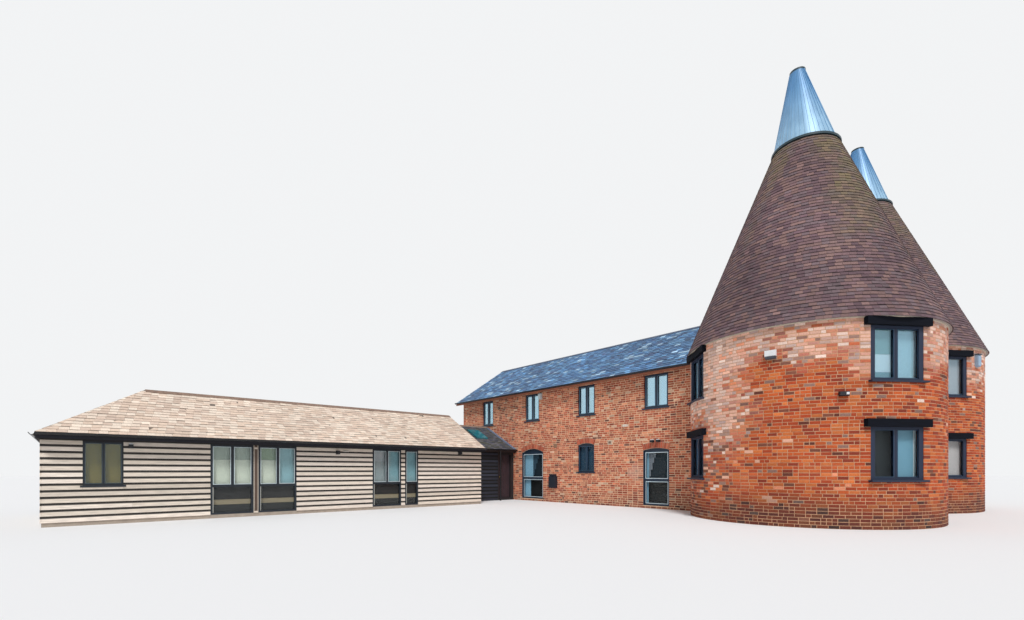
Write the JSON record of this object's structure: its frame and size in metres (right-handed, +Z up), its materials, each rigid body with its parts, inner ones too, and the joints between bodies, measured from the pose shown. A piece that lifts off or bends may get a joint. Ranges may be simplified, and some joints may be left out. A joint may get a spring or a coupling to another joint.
{
  "type": "oast house",
  "caption": "Brick oast house with round kilns under tiled cones and metal cowls, a slated range, and a low boarded wing joined by an entrance lobby.",
  "frame": {"origin": "middle of the whole house in plan, on the ground", "axes": "+Z up; +X along the brick range from its left gable to the round kilns; +Y away from the courtyard, so the boarded wing runs towards -Y"},
  "size_m": [19.622, 26.4919, 13.3489],
  "materials": {
    "range_brick": "matt red brick in pale mortar",
    "kiln_brick": "matt orange-red brick with grey and buff bricks in pale mortar",
    "arch_brick": "matt rubbed red brick",
    "slate": "blue-grey slate with a low sheen",
    "wing_slate": "weathered grey-brown slate with lichen",
    "clay_tile": "matt plum-brown clay tiles with some moss",
    "ridge_tile": "matt red-brown clay",
    "gutter": "black gloss paint",
    "window_frame": "dark blue-grey satin paint",
    "glass": "clear double glazing",
    "lintel_timber": "black stained timber",
    "cowl_metal": "blue-grey galvanised sheet, satin",
    "flashing": "dull blue-grey lead",
    "board": "black stained feather-edged boards",
    "door_timber": "dark brown boarded oak",
    "knob_brass": "polished brass",
    "floor_slab": "pale concrete",
    "floor_board": "plain softwood boards"
  },
  "bodies": {
    "house": {"ground_floors": "floor_slab", "upper_floors": "floor_board", "range_front_wall": "range_brick", "range_back_wall": "range_brick", "range_left_gable": "range_brick", "range_right_gable": "range_brick", "range_roof": "slate", "range_ridge_tiles": "ridge_tile", "range_gutters": "gutter", "range_arches": "arch_brick", "range_window_frames": "window_frame", "range_glass": "glass", "near_kiln_wall_right": "kiln_brick", "near_kiln_wall_back": "kiln_brick", "near_kiln_wall_left": "kiln_brick", "far_kiln_wall_right": "kiln_brick", "far_kiln_wall_back": "kiln_brick", "far_kiln_wall_left": "kiln_brick", "near_kiln_roof": "clay_tile", "far_kiln_roof": "clay_tile", "near_cowl": "cowl_metal", "far_cowl": "cowl_metal", "kiln_lintels": "lintel_timber", "kiln_window_frames": "window_frame", "kiln_glass": "glass", "lobby_floor": "floor_slab", "lobby_side_wall": "board", "lobby_end_wall": "board", "lobby_front_wall": "board", "lobby_roof": "clay_tile", "lobby_ridge_tiles": "ridge_tile", "lobby_rooflight": "window_frame", "lobby_flashing": "flashing", "lobby_gutters": "gutter", "door_frame": "door_timber", "wing_floor": "floor_slab", "wing_front_wall": "board", "wing_back_wall": "board", "wing_left_wall": "board", "wing_right_gable": "board", "wing_roof": "wing_slate", "wing_ridge_tiles": "ridge_tile", "wing_gutters": "gutter", "wing_window_frames": "window_frame", "wing_glass": "glass"},
    "door": {"front_door": "door_timber", "door_knob": "knob_brass"}
  },
  "joints": [
    {"name": "door_hinge", "type": "hinge", "parent": "house", "child": "door", "pos_m": [-5.7385, 2.733, 1.1], "axis": [0, 0, -1], "range_deg": [0, 90]}
  ]
}
